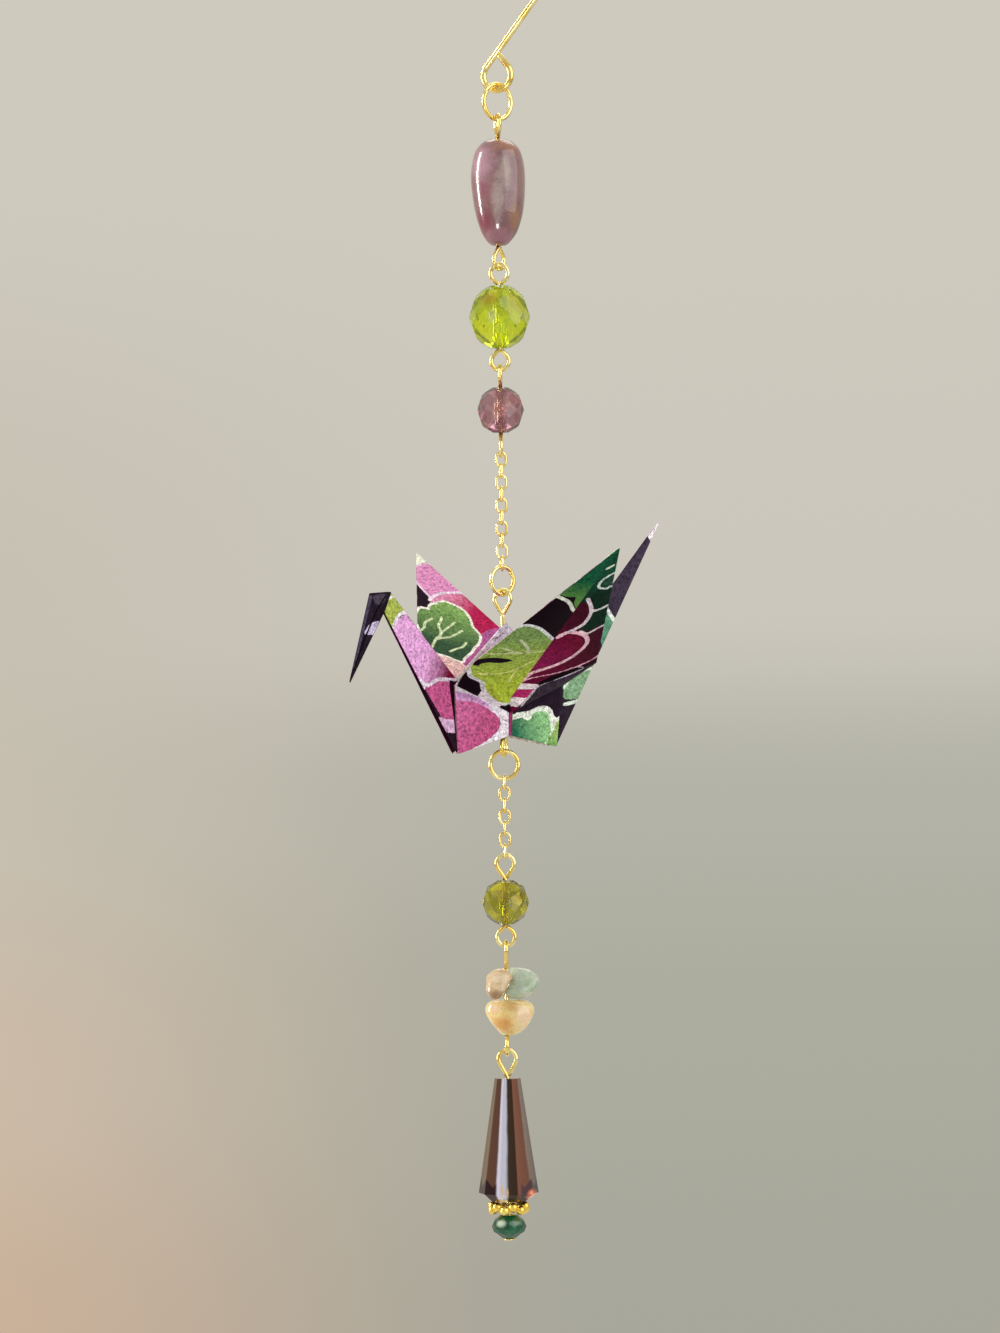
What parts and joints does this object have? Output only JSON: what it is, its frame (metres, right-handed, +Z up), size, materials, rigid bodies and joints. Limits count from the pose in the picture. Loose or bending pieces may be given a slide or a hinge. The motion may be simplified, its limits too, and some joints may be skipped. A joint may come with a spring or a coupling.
{
  "type": "hanging origami crane ornament",
  "caption": "Folded paper crane threaded on a linked strand of stones, faceted beads, wire loops and fine chain that hangs from a hook and ends in a long glass drop.",
  "frame": {"origin": "the point inside the hook's bend that bears on a peg or branch", "axes": "+Z up along the hanging strand, +X to the right of the front view, towards the crane's tail, +Y away from the front view"},
  "size_m": [0.0432, 0.0451, 0.186],
  "materials": {
    "gold_wire": "bright polished gold plate",
    "gold_casting": "polished gold plate",
    "purple_stone": "tumbled and polished",
    "green_glass": "faceted, glossy",
    "mauve_glass": "faceted, glossy",
    "olive_glass": "faceted, glossy",
    "bronze_glass": "faceted, glossy, with a pearly lustre",
    "emerald_glass": "faceted, glossy",
    "tan_stone": "tumbled and polished",
    "green_stone": "tumbled and polished",
    "peach_stone": "tumbled and polished",
    "printed_paper": "printed on both sides, matte"
  },
  "bodies": {
    "hook": {"hook": "gold_wire"},
    "top_ring": {"top_ring": "gold_wire"},
    "stone_pin": {"stone_pin": "gold_wire"},
    "purple_stone": {"purple_stone": "purple_stone"},
    "green_pin": {"green_pin": "gold_wire"},
    "green_bead": {"green_bead": "green_glass"},
    "mauve_pin": {"mauve_pin": "gold_wire"},
    "mauve_bead": {"mauve_bead": "mauve_glass"},
    "upper_link_01": {"upper_link_01": "gold_wire"},
    "upper_link_02": {"upper_link_02": "gold_wire"},
    "upper_link_03": {"upper_link_03": "gold_wire"},
    "upper_link_04": {"upper_link_04": "gold_wire"},
    "upper_link_05": {"upper_link_05": "gold_wire"},
    "upper_link_06": {"upper_link_06": "gold_wire"},
    "upper_link_07": {"upper_link_07": "gold_wire"},
    "upper_link_08": {"upper_link_08": "gold_wire"},
    "upper_link_09": {"upper_link_09": "gold_wire"},
    "upper_link_10": {"upper_link_10": "gold_wire"},
    "upper_ring": {"upper_ring": "gold_wire"},
    "crane_pin": {"crane_pin": "gold_wire", "paper_crane": "printed_paper"},
    "lower_ring": {"lower_ring": "gold_wire"},
    "lower_link_01": {"lower_link_01": "gold_wire"},
    "lower_link_02": {"lower_link_02": "gold_wire"},
    "lower_link_03": {"lower_link_03": "gold_wire"},
    "lower_link_04": {"lower_link_04": "gold_wire"},
    "lower_link_05": {"lower_link_05": "gold_wire"},
    "lower_link_06": {"lower_link_06": "gold_wire"},
    "lower_link_07": {"lower_link_07": "gold_wire"},
    "olive_pin": {"olive_pin": "gold_wire"},
    "olive_bead": {"olive_bead": "olive_glass"},
    "chip_pin": {"chip_pin": "gold_wire", "tan_chip": "tan_stone", "green_chip": "green_stone", "peach_chip": "peach_stone"},
    "drop_pin": {"drop_pin": "gold_wire"},
    "glass_drop": {"glass_drop": "bronze_glass"},
    "daisy_spacer": {"daisy_spacer": "gold_casting"},
    "rondelle": {"rondelle": "emerald_glass"}
  },
  "joints": [
    {"name": "top_ring_swing", "type": "hinge", "parent": "hook", "child": "top_ring", "pos_m": [0, 0, -0.02535], "axis": [-0.9272, 0.3746, 0], "range_deg": [-40, 40]},
    {"name": "stone_pin_swing", "type": "hinge", "parent": "top_ring", "child": "stone_pin", "pos_m": [0, 0, -0.02944], "axis": [0.766, 0.6428, 0], "range_deg": [-40, 40]},
    {"name": "purple_stone_spin", "type": "hinge", "parent": "stone_pin", "child": "purple_stone", "pos_m": [0, 0, -0.02944], "axis": [0, 0, 1], "continuous": true},
    {"name": "green_pin_swing", "type": "hinge", "parent": "stone_pin", "child": "green_pin", "pos_m": [0, 0, -0.05022], "axis": [-0.5592, -0.829, 0], "range_deg": [-40, 40]},
    {"name": "green_bead_spin", "type": "hinge", "parent": "green_pin", "child": "green_bead", "pos_m": [0, 0, -0.05022], "axis": [0, 0, 1], "continuous": true},
    {"name": "mauve_pin_swing", "type": "hinge", "parent": "green_pin", "child": "mauve_pin", "pos_m": [0, 0, -0.06424], "axis": [1, 0, 0], "range_deg": [-40, 40]},
    {"name": "mauve_bead_spin", "type": "hinge", "parent": "mauve_pin", "child": "mauve_bead", "pos_m": [0, 0, -0.06424], "axis": [0, 0, 1], "continuous": true},
    {"name": "upper_link_01_swing", "type": "hinge", "parent": "mauve_pin", "child": "upper_link_01", "pos_m": [0, 0, -0.07616], "axis": [0, -1, 0], "range_deg": [-40, 40]},
    {"name": "upper_link_02_swing", "type": "hinge", "parent": "upper_link_01", "child": "upper_link_02", "pos_m": [0, 0, -0.07764], "axis": [-0.9848, -0.1736, 0], "range_deg": [-40, 40]},
    {"name": "upper_link_03_swing", "type": "hinge", "parent": "upper_link_02", "child": "upper_link_03", "pos_m": [0, 0, -0.07924], "axis": [-0.1736, 0.9848, 0], "range_deg": [-40, 40]},
    {"name": "upper_link_04_swing", "type": "hinge", "parent": "upper_link_03", "child": "upper_link_04", "pos_m": [0, 0, -0.08084], "axis": [0.9848, 0.1736, 0], "range_deg": [-40, 40]},
    {"name": "upper_link_05_swing", "type": "hinge", "parent": "upper_link_04", "child": "upper_link_05", "pos_m": [0, 0, -0.08244], "axis": [-0.1736, 0.9848, 0], "range_deg": [-40, 40]},
    {"name": "upper_link_06_swing", "type": "hinge", "parent": "upper_link_05", "child": "upper_link_06", "pos_m": [0, 0, -0.08404], "axis": [-0.9848, -0.1736, 0], "range_deg": [-40, 40]},
    {"name": "upper_link_07_swing", "type": "hinge", "parent": "upper_link_06", "child": "upper_link_07", "pos_m": [0, 0, -0.08564], "axis": [0.1736, -0.9848, 0], "range_deg": [-40, 40]},
    {"name": "upper_link_08_swing", "type": "hinge", "parent": "upper_link_07", "child": "upper_link_08", "pos_m": [0, 0, -0.08724], "axis": [0.9848, 0.1736, 0], "range_deg": [-40, 40]},
    {"name": "upper_link_09_swing", "type": "hinge", "parent": "upper_link_08", "child": "upper_link_09", "pos_m": [0, 0, -0.08884], "axis": [0.1736, -0.9848, 0], "range_deg": [-40, 40]},
    {"name": "upper_link_10_swing", "type": "hinge", "parent": "upper_link_09", "child": "upper_link_10", "pos_m": [0, 0, -0.09044], "axis": [-0.9848, -0.1736, 0], "range_deg": [-40, 40]},
    {"name": "upper_ring_swing", "type": "hinge", "parent": "upper_link_10", "child": "upper_ring", "pos_m": [0, 0, -0.09204], "axis": [-0.1736, 0.9848, 0], "range_deg": [-40, 40]},
    {"name": "crane_pin_swing", "type": "hinge", "parent": "upper_ring", "child": "crane_pin", "pos_m": [0, 0, -0.0954], "axis": [0.788, 0.6157, 0], "range_deg": [-40, 40]},
    {"name": "lower_ring_swing", "type": "hinge", "parent": "crane_pin", "child": "lower_ring", "pos_m": [0, 0, -0.11775], "axis": [-0.2588, -0.9659, 0], "range_deg": [-40, 40]},
    {"name": "lower_link_01_swing", "type": "hinge", "parent": "lower_ring", "child": "lower_link_01", "pos_m": [0, 0, -0.12099], "axis": [-1, 0, 0], "range_deg": [-40, 40]},
    {"name": "lower_link_02_swing", "type": "hinge", "parent": "lower_link_01", "child": "lower_link_02", "pos_m": [0, 0, -0.12246], "axis": [0, 1, 0], "range_deg": [-40, 40]},
    {"name": "lower_link_03_swing", "type": "hinge", "parent": "lower_link_02", "child": "lower_link_03", "pos_m": [0, 0, -0.12406], "axis": [1, 0, 0], "range_deg": [-40, 40]},
    {"name": "lower_link_04_swing", "type": "hinge", "parent": "lower_link_03", "child": "lower_link_04", "pos_m": [0, 0, -0.12566], "axis": [0, -1, 0], "range_deg": [-40, 40]},
    {"name": "lower_link_05_swing", "type": "hinge", "parent": "lower_link_04", "child": "lower_link_05", "pos_m": [0, 0, -0.12726], "axis": [-1, 0, 0], "range_deg": [-40, 40]},
    {"name": "lower_link_06_swing", "type": "hinge", "parent": "lower_link_05", "child": "lower_link_06", "pos_m": [0, 0, -0.12886], "axis": [0, 1, 0], "range_deg": [-40, 40]},
    {"name": "lower_link_07_swing", "type": "hinge", "parent": "lower_link_06", "child": "lower_link_07", "pos_m": [0, 0, -0.13046], "axis": [1, 0, 0], "range_deg": [-40, 40]},
    {"name": "olive_pin_swing", "type": "hinge", "parent": "lower_link_07", "child": "olive_pin", "pos_m": [0, 0, -0.13206], "axis": [0, -1, 0], "range_deg": [-40, 40]},
    {"name": "olive_bead_spin", "type": "hinge", "parent": "olive_pin", "child": "olive_bead", "pos_m": [0, 0, -0.13206], "axis": [0, 0, 1], "continuous": true},
    {"name": "chip_pin_swing", "type": "hinge", "parent": "olive_pin", "child": "chip_pin", "pos_m": [0, 0, -0.1442], "axis": [-1, 0, 0], "range_deg": [-40, 40]},
    {"name": "drop_pin_swing", "type": "hinge", "parent": "chip_pin", "child": "drop_pin", "pos_m": [0, 0, -0.15928], "axis": [0, 1, 0], "range_deg": [-40, 40]},
    {"name": "glass_drop_spin", "type": "hinge", "parent": "drop_pin", "child": "glass_drop", "pos_m": [0, 0, -0.15928], "axis": [0, 0, 1], "continuous": true},
    {"name": "daisy_spacer_spin", "type": "hinge", "parent": "drop_pin", "child": "daisy_spacer", "pos_m": [0, 0, -0.15928], "axis": [0, 0, 1], "continuous": true},
    {"name": "rondelle_spin", "type": "hinge", "parent": "drop_pin", "child": "rondelle", "pos_m": [0, 0, -0.15928], "axis": [0, 0, 1], "continuous": true}
  ]
}
